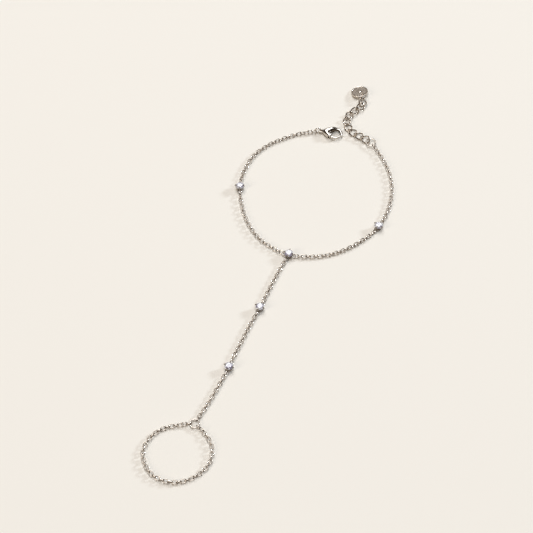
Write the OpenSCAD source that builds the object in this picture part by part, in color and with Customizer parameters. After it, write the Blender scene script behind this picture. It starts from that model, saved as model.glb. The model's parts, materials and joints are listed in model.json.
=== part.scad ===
// Hand chain bracelet: a fine cable chain round the wrist, five set stones,
// a chain over the hand to a finger loop, and a lobster clasp with an extender.
// It lies open on a flat surface at z = 0. +X is right, +Y points away from the fingers.

/* [Cable chain] */
// Outer length of a cable link
link_l = 2.12; // [2.06:0.02:2.3]
// Outer width of a cable link
link_w = 1.5; // [1.4:0.02:1.6]
// Wire of a cable link
link_wire = 0.34; // [0.28:0.01:0.36]
// Least gap between two links that hang in each other
link_play = 0.12; // [0.1:0.01:0.2]

/* [Stones] */
// Girdle diameter of the stones
stone_d = 2.75; // [2.5:0.05:3]
// Height of the girdle's middle above the surface
girdle_z = 1.75; // [1.65:0.05:2]
// Thickness of the girdle
girdle_t = 0.1; // [0.06:0.02:0.16]
// Flat table across the top of a stone
table_d = 1.55; // [1.4:0.05:1.7]
// Slope of the main facets above the girdle
crown_angle = 34; // [30:1:38]
// Slope of the main facets below the girdle
pavilion_angle = 41; // [38:1:43]
// Gap between a stone and its setting
stone_gap = 0.05; // [0.03:0.01:0.08]

/* [Settings] */
// Wire of the four prongs
prong_wire = 0.42; // [0.36:0.02:0.5]
// Distance of a prong's foot from the setting's axis
foot_r = 0.7; // [0.6:0.05:0.8]
// Wire of the ring that the prongs stand on
foot_wire = 0.36; // [0.3:0.02:0.4]
// Height of the cup's lower edge
cup_low_z = 0.5; // [0.45:0.05:0.55]
// Height of the cup's upper edge
cup_top_z = 1.1; // [1:0.05:1.2]
// Wall of the cup
cup_wall = 0.24; // [0.2:0.02:0.28]
// Ball at a prong's tip
tip_d = 0.5; // [0.44:0.02:0.56]
// Outer width of a soldered side loop
loop_w = 1.5; // [1.4:0.05:1.6]
// Wire of a side loop
loop_wire = 0.36; // [0.3:0.02:0.38]
// Distance of a side loop's wire from the setting's axis
loop_reach = 2.2; // [2.1:0.05:2.4]
// How much thicker a side loop's legs are than its bend, and how far they run on into it
loop_solder = 0.04; // [0.02:0.01:0.06]

/* [Jump rings] */
// Wire of the jump rings
ring_wire = 0.44; // [0.38:0.02:0.46]
// Outer diameter of the ring that holds the finger loop
finger_ring_d = 3.3; // [3:0.1:3.6]
// Outer diameter of the ring that holds the extender
extender_ring_d = 3.6; // [3.4:0.1:3.8]
// Height at which the extender's ring lies
extender_ring_z = 0.9; // [0.9:0.02:1]
// Outer diameter of the ring on the clasp
clasp_ring_d = 2.4; // [2.3:0.1:2.6]
// Outer diameter of the ring that holds the tag
tag_ring_d = 3; // [2.8:0.1:3.2]
// Lean of the tag's ring from the flat
tag_ring_lean = 66; // [62:1:68]

/* [Extender] */
// Outer length of an extender link
curb_l = 3.9; // [3.85:0.05:4.2]
// Outer width of an extender link
curb_w = 2.95; // [2.8:0.05:3.1]
// Wire of an extender link
curb_wire = 0.46; // [0.4:0.02:0.48]
// Twist of an extender link from its middle to each end
curb_twist = 46; // [45:1:52]
// Least gap between two extender links that hang in each other
curb_play = 0.2; // [0.16:0.02:0.3]

/* [Tag] */
// Diameter of the tag
tag_d = 5.8; // [5.2:0.1:6.2]
// Thickness of the tag's plate
tag_t = 0.4; // [0.3:0.05:0.45]
// Hole for the tag's ring
tag_hole_d = 1.4; // [1.3:0.05:1.5]
// Metal left between the hole and the tag's edge
tag_hole_land = 0.3; // [0.25:0.05:0.4]
// Height of the relief above the plate
relief_h = 0.1; // [0.06:0.02:0.12]
// Width of the tag's raised rim
rim_w = 0.3; // [0.2:0.02:0.3]
// Rays of the sunburst
rays = 20; // [12:4:24]
// Width of a ray
ray_w = 0.2; // [0.14:0.02:0.24]
// Gap at each end of a ray
ray_gap = 0.3; // [0.2:0.05:0.4]
// Diameter of the boss in the middle of the sunburst
boss_d = 1.2; // [0.8:0.1:1.6]

/* [Clasp] */
// Thickness of the clasp's body
clasp_t = 2; // [1.8:0.1:2.2]
// Widest diameter of the clasp's body
clasp_w = 4.8; // [4.6:0.1:5]
// Diameter of the body's neck at the eyelet
neck_d = 1.1; // [1:0.05:1.3]
// Distance from the eyelet to the middle of the hook's opening
hook_x = 5.2; // [5:0.1:5.5]
// Diameter of the hook's opening
hook_hole_d = 3; // [2.8:0.1:3.1]
// Width of the hook
hook_w = 0.9; // [0.85:0.05:1]
// Width of the lever's arm
lever_w = 0.6; // [0.5:0.05:0.7]
// Outer diameter of the eyelet
eyelet_d = 1.7; // [1.65:0.05:1.8]
// Wire of the eyelet
eyelet_wire = 0.46; // [0.4:0.02:0.46]
// Thickness of the lever
lever_t = 0.85; // [0.75:0.05:0.95]
// Gap on each side of the lever in its slot
lever_gap = 0.1; // [0.08:0.01:0.14]
// Gap between the tips of the hook and the lever
tip_gap = 0.1; // [0.08:0.01:0.14]
// Diameter of the hinge pin
pin_d = 0.5; // [0.45:0.05:0.6]
// Gap between the hinge pin and the lever's bore
pin_gap = 0.04; // [0.03:0.01:0.06]
// Diameter of the lever's root round its bore
root_d = 1.2; // [1.1:0.05:1.3]
// Thickness of the hook
hook_t = 1.1; // [1:0.05:1.3]
// Diameter of the lever's knob
knob_d = 0.8; // [0.6:0.05:0.9]
// How far the body's cheeks reach past the hinge pin
cheek_reach = 0.9; // [0.8:0.05:1]

/* [Hidden] */
$fn = 48;
eps = 0.01;

// How the chains lie, chosen by hand: path, what sits at the point, x, y
chain_route = [
    ["wrist", "clasp ring", 15, 56.1],
    ["wrist", "", 9, 55.2],
    ["wrist", "", 3.5, 53],
    ["wrist", "", -2, 50],
    ["wrist", "", -7, 45],
    ["wrist", "", -10, 38.5],
    ["wrist", "left", -11.2, 32],
    ["wrist", "", -10.5, 24.5],
    ["wrist", "", -8.5, 17.5],
    ["wrist", "", -5, 11.5],
    ["wrist", "", -0.5, 7.5],
    ["wrist", "centre", 4.7, 4.6],
    ["wrist", "", 10.5, 4],
    ["wrist", "", 16.5, 4.5],
    ["wrist", "", 22.5, 6.5],
    ["wrist", "", 28.5, 10.3],
    ["wrist", "right", 34, 15.7],
    ["wrist", "", 37.5, 23],
    ["wrist", "", 39, 30.5],
    ["wrist", "", 38.5, 38],
    ["wrist", "", 36.3, 44.7],
    ["wrist", "extender ring", 32.8, 51.2],
    ["hand", "centre", 4.7, 4.6],
    ["hand", "", 2.5, 0.3],
    ["hand", "", 0, -5],
    ["hand", "", -2.5, -11],
    ["hand", "upper", -4.5, -15.9],
    ["hand", "", -7.5, -22],
    ["hand", "", -10.2, -28.3],
    ["hand", "", -12.4, -33.5],
    ["hand", "lower", -13.9, -37.7],
    ["hand", "", -16.8, -43.8],
    ["hand", "", -19.8, -49.8],
    ["hand", "finger ring", -23.9, -57.2],
    ["finger", "finger ring", -23.9, -57.2],
    ["finger", "", -28.5, -57.6],
    ["finger", "", -33.5, -59],
    ["finger", "", -37.3, -62.3],
    ["finger", "", -39, -67.2],
    ["finger", "", -37.3, -72.7],
    ["finger", "", -33.3, -76],
    ["finger", "", -28, -76.7],
    ["finger", "", -22.8, -74.6],
    ["finger", "", -19.2, -70.5],
    ["finger", "", -18.6, -65],
    ["finger", "", -20.7, -60.7],
    ["finger", "finger ring end", -23.9, -57.2],
    ["extender", "extender ring", 32.8, 51.2],
    ["extender", "", 30.4, 53.1],
    ["extender", "", 28, 54.6],
    ["extender", "", 25.8, 56.8],
    ["extender", "", 24.9, 59.9],
    ["extender", "", 25.8, 63.2],
    ["extender", "", 28.2, 65.3],
    ["extender", "", 30.6, 67.3],
    ["extender", "tag ring", 30.8, 70.8]
];
// Direction in which the clasp lies, from its eyelet
clasp_yaw = -17;
// Direction in which the tag lies, from its hole
tag_yaw = 123;

// Links lie on alternate slopes, and those at a ring or loop stand steeper
link_lean = 45;
end_lean = 65;
// Lean of the link that hangs in the upright ring of the clasp
clasp_end_lean = 25;
// How far along its chain a side loop points
loop_aim = 1.6;
// Roll of the extender's first link
curb_end_lean = 12;

link_r = (link_w - link_wire) / 2;
link_pitch = link_l - 2 * link_wire - link_play;
chain_z = link_wire / 2 + link_r * sin(link_lean);
// An end link slopes, so it is held a little higher than its lean alone asks
end_spare = 0.02;
loop_z = link_wire / 2 + link_r * sin(end_lean) + end_spare;
// Joints over which a chain rises to what holds it
rise_joints = 3;
// How far inside a ring's wire the first crossing point of a chain lies
link_seat = link_r - (link_wire + link_play) / 2;

curb_a = (curb_l - curb_wire) / 2;
curb_b = (curb_w - curb_wire) / 2;
curb_pitch = curb_l - 2 * curb_wire - curb_play;
curb_seat = curb_b * curb_b / curb_a - (curb_wire + curb_play) / 2;
function curb_height(roll) = curb_wire / 2
    + curb_b * max([for (a = [0:5:90]) sin(a) * sin(curb_twist * cos(a) + roll)]);
curb_z = curb_height(0);

// Prongs lean out from the foot ring to the girdle, then their claws turn in over the stone
seat_r = stone_d / 2 + stone_gap;
prong_slope = (seat_r - foot_r) / girdle_z;
function prong_r(z) = foot_r + prong_slope * z;
crown_h = (stone_d - table_d) / 2 * tan(crown_angle);
tip_z = girdle_z + crown_h;
tip_r = seat_r - tip_d / 2;

hook_hole_r = hook_hole_d / 2;
hook_r = hook_hole_r + hook_w / 2;
// Angles round the hook's opening, from the clasp's length: the tips of the hook and the
// lever, where the hook leaves the body, the hinge and the knob
hook_tip_angle = -18;
lever_tip_angle = -8;
hook_root_angle = 125;
pivot_angle = -140;
knob_angle = -112;
// How far past the hinge the lever's arm starts
lever_root_turn = 12;
// The lever's tip swings inside the hook's tip. They part along an arc about the hinge
// that would just meet the opening's far wall, and the hook is hollowed up to an angle
tip_arc_r = hook_r + hook_hole_r;
tip_recess_angle = 20;
// Outline of the clasp's body: share of its half width, share of the way to the hook's middle
body_profile = [[0.52, 0.42], [0.84, 0.62], [0.98, 0.78]];
pivot_x = hook_x + hook_r * cos(pivot_angle);
pivot_y = hook_r * sin(pivot_angle);
clasp_z = clasp_t / 2;
eyelet_r = (eyelet_d - eyelet_wire) / 2;
clasp_ring_r = (clasp_ring_d - ring_wire) / 2;
tag_ring_r = (tag_ring_d - ring_wire) / 2;
tag_ring_z = ring_wire / 2 + tag_ring_r * sin(tag_ring_lean);
tag_hole_x = tag_d / 2 - tag_hole_d / 2 - tag_hole_land;
tag_tilt = asin((tag_ring_z - tag_t / 2) / (tag_hole_x + tag_d / 2));

// A smooth curve through the points of a path, sampled, with the length run at each sample
samples = 8;
function curve(a, b, c, d, t) = 0.5 * (2 * b + (c - a) * t
    + (2 * a - 5 * b + 4 * c - d) * t * t + (3 * b - a - 3 * c + d) * t * t * t);
function sampled(p) = [
    for (i = [0 : len(p) - 2], k = [0 : samples - 1])
        curve(i == 0 ? 2 * p[0] - p[1] : p[i - 1], p[i], p[i + 1],
              i + 2 < len(p) ? p[i + 2] : 2 * p[i + 1] - p[i], k / samples),
    p[len(p) - 1]
];
function run_lengths(p) = [
    for (i = 0, s = 0; i < len(p); s = s + (i + 1 < len(p) ? norm(p[i + 1] - p[i]) : 0), i = i + 1) s
];
function lay(name) =
    let (rows = [for (row = chain_route) if (row[0] == name) row],
         points = sampled([for (row = rows) [row[2], row[3]]]),
         run = run_lengths(points))
    [
        [for (i = [0 : len(run) - 1]) [run[i], points[i].x]],
        [for (i = [0 : len(run) - 1]) [run[i], points[i].y]],
        [for (i = [0 : len(rows) - 1]) if (rows[i][1] != "") [rows[i][1], run[samples * i]]]
    ];
wrist = lay("wrist");
hand = lay("hand");
finger = lay("finger");
extender = lay("extender");

function run_to(path, stop) = [for (row = path[2]) if (row[0] == stop) row[1]][0];
function at(path, s) = [lookup(s, path[0]), lookup(s, path[1]), 0];
function place(path, stop) = at(path, run_to(path, stop));
// Yaw from one point to another
function yaw(a, b) = atan2(b.y - a.y, b.x - a.x);
// Yaw from a stop to the path a signed distance along
function yaw_along(path, stop, distance) =
    yaw(place(path, stop), at(path, run_to(path, stop) + distance));
// Yaw of the path as it passes a setting, from one of its loops to the other
function mean_yaw(path, stop) =
    let (s = run_to(path, stop)) yaw(at(path, s - loop_reach), at(path, s + loop_reach));

// Crossing points of the links of a run, with the rise at each of its ends
function joints(path, from, to, pitch, z, rise) =
    let (n = ceil((to - from) / pitch))
    [
        for (k = [0 : n])
            let (start_rise = rise[0] * max(0, 1 - k / rise_joints),
                 end_rise = rise[1] * max(0, 1 - (n - k) / rise_joints))
            at(path, from + (to - from) * k / n) + [0, 0, z + start_rise + end_rise]
    ];

// Puts a link's middle halfway between two points, and its length along them
module between(a, b, roll) {
    d = b - a;
    translate((a + b) / 2)
        rotate([0, -atan2(d.z, norm([d.x, d.y])), yaw(a, b)])
            rotate([roll, 0, 0]) children();
}

module torus(mid_r, wire, angle = 360) {
    rotate_extrude(angle = angle) translate([mid_r, 0]) circle(d = wire);
}

module cable_link() {
    straight = link_l - link_w;
    for (turn = [0, 180]) rotate([0, 0, turn]) {
        translate([straight / 2, 0, 0]) rotate([0, 0, -90]) torus(link_r, link_wire, 180);
        translate([-straight / 2, link_r, 0]) rotate([0, 90, 0]) cylinder(d = link_wire, h = straight);
    }
}

// A run of cable links between two stops. Each end: [stop, radius of the ring or loop, its height, lean]
module cable_chain(path, start, end) {
    from = run_to(path, start[0]) + start[1] - link_seat;
    to = run_to(path, end[0]) - end[1] + link_seat;
    // The rise is a little more than the ring's height, so that the end link's middle reaches it
    end_rise = 2 * rise_joints / (2 * rise_joints - 1);
    p = joints(path, from, to, link_pitch, chain_z,
               [(start[2] - chain_z) * end_rise, (end[2] - chain_z) * end_rise]);
    last = len(p) - 2;
    color("silver")
        for (k = [0 : last])
            between(p[k], p[k + 1],
                    (k % 2 == 0 ? 1 : -1) * (k == 0 ? start[3] : k == last ? end[3] : link_lean))
                cable_link();
}

function at_loop(stop) = [stop, loop_reach, loop_z, end_lean];
finger_ring_r = (finger_ring_d - ring_wire) / 2;
extender_ring_r = (extender_ring_d - ring_wire) / 2;

module chain_clasp_to_left() {
    cable_chain(wrist, ["clasp ring", clasp_ring_r, clasp_z, clasp_end_lean], at_loop("left"));
}

module chain_left_to_centre() {
    cable_chain(wrist, at_loop("left"), at_loop("centre"));
}

module chain_centre_to_right() {
    cable_chain(wrist, at_loop("centre"), at_loop("right"));
}

module chain_right_to_extender() {
    cable_chain(wrist, at_loop("right"), ["extender ring", extender_ring_r, extender_ring_z, end_lean]);
}

module hand_chain_upper() {
    cable_chain(hand, at_loop("centre"), at_loop("upper"));
}

module hand_chain_middle() {
    cable_chain(hand, at_loop("upper"), at_loop("lower"));
}

module hand_chain_lower() {
    cable_chain(hand, at_loop("lower"), ["finger ring", finger_ring_r, loop_z, end_lean]);
}

module finger_chain() {
    cable_chain(finger, ["finger ring", finger_ring_r, loop_z, end_lean],
                ["finger ring end", finger_ring_r, loop_z, end_lean]);
}

// Sides along and round the wire of an extender link, and the small turn that shows its direction
curb_steps = 16;
curb_sides = 6;
curb_turn = 1;
function curb_mid(a) =
    let (twist = curb_twist * cos(a))
    [curb_a * cos(a), curb_b * sin(a) * cos(twist), curb_b * sin(a) * sin(twist)];

module curb_link() {
    points = [
        for (i = [0 : curb_steps - 1])
            let (a = 360 * i / curb_steps,
                 mid = curb_mid(a),
                 along = curb_mid(a + curb_turn) - curb_mid(a - curb_turn),
                 out = [mid.x / curb_a, mid.y / curb_b, mid.z / curb_b],
                 up = cross(along, out) / norm(cross(along, out)),
                 side = cross(up, along) / norm(along))
            for (k = [0 : curb_sides - 1])
                mid + curb_wire / 2 * (cos(360 * k / curb_sides) * side + sin(360 * k / curb_sides) * up)
    ];
    faces = [
        for (i = [0 : curb_steps - 1], k = [0 : curb_sides - 1])
            let (j = (i + 1) % curb_steps, m = (k + 1) % curb_sides,
                 a = curb_sides * i + k, b = curb_sides * i + m,
                 c = curb_sides * j + m, d = curb_sides * j + k)
            each [[a, b, c], [a, c, d]]
    ];
    polyhedron(points, faces);
}

module extender_chain() {
    from = run_to(extender, "extender ring") + extender_ring_r - curb_seat;
    to = run_to(extender, "tag ring") - tag_ring_r + curb_seat;
    p = joints(extender, from, to, curb_pitch, curb_z,
               [curb_height(curb_end_lean) - curb_z, (tag_ring_z - curb_z) / 2]);
    color("silver")
        for (k = [0 : len(p) - 2])
            between(p[k], p[k + 1], k == 0 ? -curb_end_lean : 0) curb_link();
}

// The clasp's ring stands upright, in line with the chain
clasp_ring_yaw = yaw_along(wrist, "clasp ring", clasp_ring_r) + 180;

module clasp_ring() {
    color("silver") translate(place(wrist, "clasp ring") + [0, 0, clasp_ring_d / 2])
        rotate([90, 0, clasp_ring_yaw]) torus(clasp_ring_r, ring_wire);
}

module extender_ring() {
    color("silver") translate(place(wrist, "extender ring") + [0, 0, extender_ring_z])
        torus(extender_ring_r, ring_wire);
}

module finger_ring() {
    color("silver") translate(place(finger, "finger ring") + [0, 0, loop_z])
        torus(finger_ring_r, ring_wire);
}

// Direction of the extender where it meets the tag's ring
tag_heading = yaw_along(extender, "tag ring", -tag_ring_r) + 180;

module tag_ring() {
    color("silver") translate(place(extender, "tag ring") + [0, 0, tag_ring_z])
        rotate([0, 0, tag_heading]) rotate([-tag_ring_lean, 0, 0]) torus(tag_ring_r, ring_wire);
}

// A round plate with a raised rim and a plain sunburst on its upper face
module tag_disc() {
    color("silver")
        translate(place(extender, "tag ring") + [0, 0, tag_ring_z])
            rotate([0, 0, tag_heading]) translate([tag_ring_r, 0, 0])
                rotate([0, 0, tag_yaw - tag_heading]) rotate([0, tag_tilt, 0])
                    translate([tag_hole_x, 0, -tag_t / 2]) difference() {
                        union() {
                            cylinder(d = tag_d, h = tag_t);
                            translate([0, 0, tag_t - eps]) tag_relief();
                        }
                        translate([-tag_hole_x, 0, -tag_t]) cylinder(d = tag_hole_d, h = 3 * tag_t);
                    }
}

module tag_relief() {
    rim_r = tag_d / 2 - rim_w;
    h = relief_h + eps;
    difference() {
        cylinder(d = tag_d, h = h);
        translate([0, 0, -eps]) cylinder(r = rim_r, h = h + 2 * eps);
    }
    cylinder(d = boss_d, h = h);
    for (k = [0 : rays - 1])
        rotate([0, 0, 360 * (k + 0.5) / rays])
            translate([boss_d / 2 + ray_gap, -ray_w / 2, 0])
                cube([rim_r - boss_d / 2 - 2 * ray_gap, ray_w, h]);
}

// A round brilliant, cut from a disc by its table and its rings of facets
module brilliant() {
    r = stone_d / 2;
    half_girdle = girdle_t / 2;
    // The halves beside a main stand a little steeper than it, and the stars by the table lie flatter
    upper_half_angle = crown_angle + 8;
    lower_half_angle = pavilion_angle + 2;
    star_angle = crown_angle - 12;
    star_spare = 0.06;
    quarter_turn = 360 / 32;
    intersection() {
        translate([0, 0, -stone_d]) cylinder(r = r, h = 2 * stone_d, $fn = 96);
        translate([0, 0, -stone_d]) cylinder(r = stone_d, h = stone_d + half_girdle + crown_h);
        facets(r, half_girdle, crown_angle);
        mirrored_too() facets(r / cos(quarter_turn), half_girdle, upper_half_angle, quarter_turn);
        facets(table_d / 2 + star_spare, half_girdle + crown_h, star_angle, 2 * quarter_turn);
        mirror([0, 0, 1]) facets(r, half_girdle, pavilion_angle);
        mirror([0, 0, 1]) mirrored_too()
            facets(r / cos(quarter_turn), half_girdle, lower_half_angle, quarter_turn);
    }
}

module mirrored_too() {
    intersection() {
        children();
        mirror([0, 1, 0]) children();
    }
}

// Eight planes that lean in at an angle and pass a height at a distance from the axis
module facets(r, z, angle, turn = 0) {
    depth = 2 * stone_d;
    rotate([0, 0, 360 / 16 + turn])
        translate([0, 0, z + r * tan(angle) - depth])
            cylinder(r1 = depth / tan(angle) / cos(360 / 16), r2 = 0, h = depth, $fn = 8);
}

// The space that a stone needs in its setting
module stone_room() {
    half_girdle = girdle_t / 2 + stone_gap;
    top = girdle_t / 2 + crown_h + stone_gap;
    rotate_extrude() polygon([
        [0, -half_girdle - seat_r * tan(pavilion_angle)],
        [seat_r, -half_girdle],
        [seat_r, half_girdle],
        [table_d / 2 + stone_gap, top],
        [0, top]
    ]);
}

module prong() {
    lean = atan(prong_slope);
    claw = [tip_r - seat_r, tip_z - girdle_z];
    translate([foot_r, 0, foot_wire / 2]) rotate([0, lean, 0])
        cylinder(d = prong_wire, h = girdle_z / cos(lean) - foot_wire / 2);
    translate([seat_r, 0, girdle_z]) sphere(d = prong_wire);
    translate([seat_r, 0, girdle_z]) rotate([0, atan2(claw[0], claw[1]), 0])
        cylinder(d = prong_wire, h = norm(claw));
    translate([tip_r, 0, tip_z]) sphere(d = tip_d);
}

// A half ring on two legs that reach the cup's wall
module side_loop() {
    r = (loop_w - loop_wire) / 2;
    cup_r = prong_r(loop_z);
    inner = sqrt(cup_r * cup_r - r * r);
    translate([loop_reach - r, 0, loop_z]) rotate([0, 0, -90]) torus(r, loop_wire, 180);
    for (side = [-1, 1])
        translate([inner, side * r, loop_z]) rotate([0, 90, 0])
            cylinder(d = loop_wire + loop_solder, h = loop_reach - r - inner + loop_solder);
}

// A four-prong basket with a soldered loop towards each yaw in the list
module setting(path, stop, yaws) {
    color("gray") translate(place(path, stop)) {
        difference() {
            rotate([0, 0, mean_yaw(path, stop)]) union() {
                for (k = [0 : 3]) rotate([0, 0, 90 * k]) prong();
                translate([0, 0, foot_wire / 2]) torus(foot_r, foot_wire);
                rotate_extrude() polygon([
                    [prong_r(cup_low_z) - cup_wall / 2, cup_low_z],
                    [prong_r(cup_low_z) + cup_wall / 2, cup_low_z],
                    [prong_r(cup_top_z) + cup_wall / 2, cup_top_z],
                    [prong_r(cup_top_z) - cup_wall / 2, cup_top_z]
                ]);
            }
            translate([0, 0, girdle_z]) stone_room();
        }
        for (turn = yaws) rotate([0, 0, turn]) side_loop();
    }
}

module stone(path, stop) {
    color("white") translate(place(path, stop) + [0, 0, girdle_z])
        rotate([0, 0, mean_yaw(path, stop)]) brilliant();
}

function both_ways(path, stop) = [yaw_along(path, stop, loop_aim), yaw_along(path, stop, -loop_aim)];

module setting_left() { setting(wrist, "left", both_ways(wrist, "left")); }
module setting_centre() {
    setting(wrist, "centre", concat(both_ways(wrist, "centre"), yaw_along(hand, "centre", loop_aim)));
}
module setting_right() { setting(wrist, "right", both_ways(wrist, "right")); }
module setting_upper() { setting(hand, "upper", both_ways(hand, "upper")); }
module setting_lower() { setting(hand, "lower", both_ways(hand, "lower")); }

module stone_left() { stone(wrist, "left"); }
module stone_centre() { stone(wrist, "centre"); }
module stone_right() { stone(wrist, "right"); }
module stone_upper() { stone(hand, "upper"); }
module stone_lower() { stone(hand, "lower"); }

// Puts the clasp's own frame, with its eyelet at the origin, where it lies
module clasp_place() {
    translate(place(wrist, "clasp ring") + [0, 0, clasp_z])
        rotate([0, 0, clasp_ring_yaw]) translate([clasp_ring_r, 0, 0])
            rotate([0, 0, clasp_yaw - clasp_ring_yaw]) children();
}

// An arm along the wall of the hook's round opening, between two angles, with chamfered edges
module hook_arm(from, to, width, thick) {
    c = width / 4;
    w = width / 2;
    h = thick / 2;
    round_hook(from) rotate_extrude(angle = to - from)
        translate([hook_hole_r + w, 0]) polygon([
            [-w, c - h], [c - w, -h], [w - c, -h], [w, c - h],
            [w, h - c], [w - c, h], [c - w, h], [-w, h - c]
        ]);
}

// Turns about the middle of the hook's opening
module round_hook(angle) {
    translate([hook_x, 0, 0]) rotate([0, 0, angle]) children();
}

// What lies within a distance of the hinge
module within_swing(r) {
    translate([pivot_x, pivot_y, -clasp_t]) cylinder(r = r, h = 2 * clasp_t);
}

// The quarter round the tips, up to an angle
module tip_quarter(angle) {
    round_hook(angle) translate([0, -clasp_w, -clasp_t]) cube([clasp_w, clasp_w, 2 * clasp_t]);
}

// The outline of the body's broad part, turned about its length
module body_outline() {
    rotate([0, 90, 0]) rotate_extrude() polygon(concat(
        [[0, eyelet_r], [neck_d / 2, eyelet_r], [neck_d / 2, eyelet_d / 2]],
        [for (row = body_profile) [clasp_w / 2 * row[0], hook_x * row[1]]],
        [[clasp_w / 2 - hook_w / 2, hook_x], [0, hook_x]]
    ));
}

module clasp_body() {
    slot_h = lever_t + 2 * lever_gap;
    slot_x = pivot_x - root_d / 2 - lever_gap;
    color("silver") clasp_place() {
        torus(eyelet_r, eyelet_wire);
        difference() {
            hook_arm(hook_tip_angle, hook_root_angle, hook_w, hook_t);
            intersection() {
                within_swing(tip_arc_r);
                tip_quarter(tip_recess_angle);
            }
        }
        difference() {
            intersection() {
                body_outline();
                translate([0, -clasp_w, -clasp_t / 2]) cube([2 * hook_x, 2 * clasp_w, clasp_t]);
            }
            translate([hook_x, 0, -clasp_t]) cylinder(d = hook_hole_d, h = 2 * clasp_t);
            translate([slot_x, -clasp_w, -slot_h / 2]) cube([2 * hook_x, clasp_w - hook_w / 2, slot_h]);
            translate([pivot_x + cheek_reach, -clasp_w, -clasp_t]) cube([hook_x, clasp_w, 2 * clasp_t]);
        }
        translate([pivot_x, pivot_y, -clasp_t / 2 + eps]) cylinder(d = pin_d, h = clasp_t - 2 * eps);
    }
}

module clasp_lever() {
    color("gray") clasp_place() difference() {
        union() {
            intersection() {
                hook_arm(pivot_angle + lever_root_turn, lever_tip_angle, lever_w, lever_t);
                within_swing(tip_arc_r - tip_gap);
            }
            translate([pivot_x, pivot_y, -lever_t / 2]) cylinder(d = root_d, h = lever_t);
            // The knob that a fingernail presses
            round_hook(knob_angle) translate([hook_hole_r + lever_w, 0, -lever_t / 2])
                cylinder(d = knob_d, h = lever_t);
        }
        translate([pivot_x, pivot_y, -clasp_t]) cylinder(d = pin_d + 2 * pin_gap, h = 2 * clasp_t);
    }
}

chain_clasp_to_left();
chain_left_to_centre();
chain_centre_to_right();
chain_right_to_extender();
hand_chain_upper();
hand_chain_middle();
hand_chain_lower();
finger_chain();
extender_chain();
clasp_ring();
extender_ring();
finger_ring();
tag_ring();
tag_disc();
setting_left();
setting_centre();
setting_right();
setting_upper();
setting_lower();
stone_left();
stone_centre();
stone_right();
stone_upper();
stone_lower();
clasp_body();
clasp_lever();
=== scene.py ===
# %% [markdown]
# # Hand chain bracelet
#
# The real thing is a fine silver chain: a ring round the wrist, a line over the back of the
# hand and a small loop round a finger, with five round stones, a lobster clasp and an extender.
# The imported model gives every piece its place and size. This file gives them their looks:
# rounder links, claws and clasp, polished metal, and stones that bend the light.

import json
from math import atan2, copysign, cos, degrees, hypot, pi, radians, sin, sqrt

import bmesh
import bpy
import numpy as np
from mathutils import Matrix, Vector


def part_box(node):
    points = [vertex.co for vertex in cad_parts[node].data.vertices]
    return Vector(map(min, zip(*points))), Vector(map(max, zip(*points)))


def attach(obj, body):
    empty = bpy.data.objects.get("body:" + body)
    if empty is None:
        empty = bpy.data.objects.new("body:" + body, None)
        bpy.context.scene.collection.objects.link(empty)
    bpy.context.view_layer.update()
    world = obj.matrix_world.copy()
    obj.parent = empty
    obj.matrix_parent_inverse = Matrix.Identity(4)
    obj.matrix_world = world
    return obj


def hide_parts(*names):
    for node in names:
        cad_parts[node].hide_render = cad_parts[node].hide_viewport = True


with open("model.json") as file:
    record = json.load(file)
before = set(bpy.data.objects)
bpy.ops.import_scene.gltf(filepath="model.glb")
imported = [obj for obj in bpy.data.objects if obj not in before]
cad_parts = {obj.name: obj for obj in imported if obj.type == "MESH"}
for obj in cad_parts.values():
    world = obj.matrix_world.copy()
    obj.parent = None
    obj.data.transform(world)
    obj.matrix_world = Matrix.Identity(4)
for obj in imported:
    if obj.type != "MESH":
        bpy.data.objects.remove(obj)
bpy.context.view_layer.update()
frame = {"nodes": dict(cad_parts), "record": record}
nodes = frame["nodes"]
scene = bpy.context.scene
MM = 0.001

# %% [markdown]
# ## The camera
#
# The picture looks down on the bracelet from the finger side, at 55 degrees above the surface.
# A long lens keeps the far end almost as large as the near end, as in a product photograph.
# The camera could be placed by eye in the viewport. Working its place out from an angle and a
# distance is easier to correct, because each number then has one meaning.

# %% Place the camera
CAMERA_HEIGHT_ANGLE = radians(55)
CAMERA_DISTANCE = 512.6 * MM
CAMERA_TARGET = Vector((-2.4, 0.6, 0)) * MM

camera_data = bpy.data.cameras.new("camera")
camera_data.lens = 108.2
camera_data.sensor_width = 36
camera = bpy.data.objects.new("camera", camera_data)
scene.collection.objects.link(camera)
camera.location = CAMERA_TARGET + CAMERA_DISTANCE * Vector(
    (0, -cos(CAMERA_HEIGHT_ANGLE), sin(CAMERA_HEIGHT_ANGLE))
)
camera.rotation_euler = (pi / 2 - CAMERA_HEIGHT_ANGLE, 0, 0)
scene.camera = camera
print("camera at", [round(v, 4) for v in camera.location])

# %% [markdown]
# ## The surface and the light
#
# The bracelet lies on smooth warm white card. Polished metal has hardly a colour of its own:
# it shows what is round it, so the light is part of the material. A broad cool panel above and
# behind gives the white streaks on the wires and the white tables of the stones. A warm panel
# from the front left fills the shadows, a weak one stands far behind, and the dim world between
# them gives the dark streaks. A small low lamp from the right throws the soft shadows that
# fall to the left.

# %% Lay the card
CARD_COLOR = (0.885, 0.838, 0.765, 1)
CARD_HALF_SIZE = 3
# The card lies a hair under the links, so that no two faces share a plane
CARD_DROP = 0.02 * MM

card_material = bpy.data.materials.new("warm_card")
card_material.use_nodes = True
card_shader = card_material.node_tree.nodes["Principled BSDF"]
card_shader.inputs["Base Color"].default_value = CARD_COLOR
card_shader.inputs["Roughness"].default_value = 0.9
card_shader.inputs["Specular IOR Level"].default_value = 0.1

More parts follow.
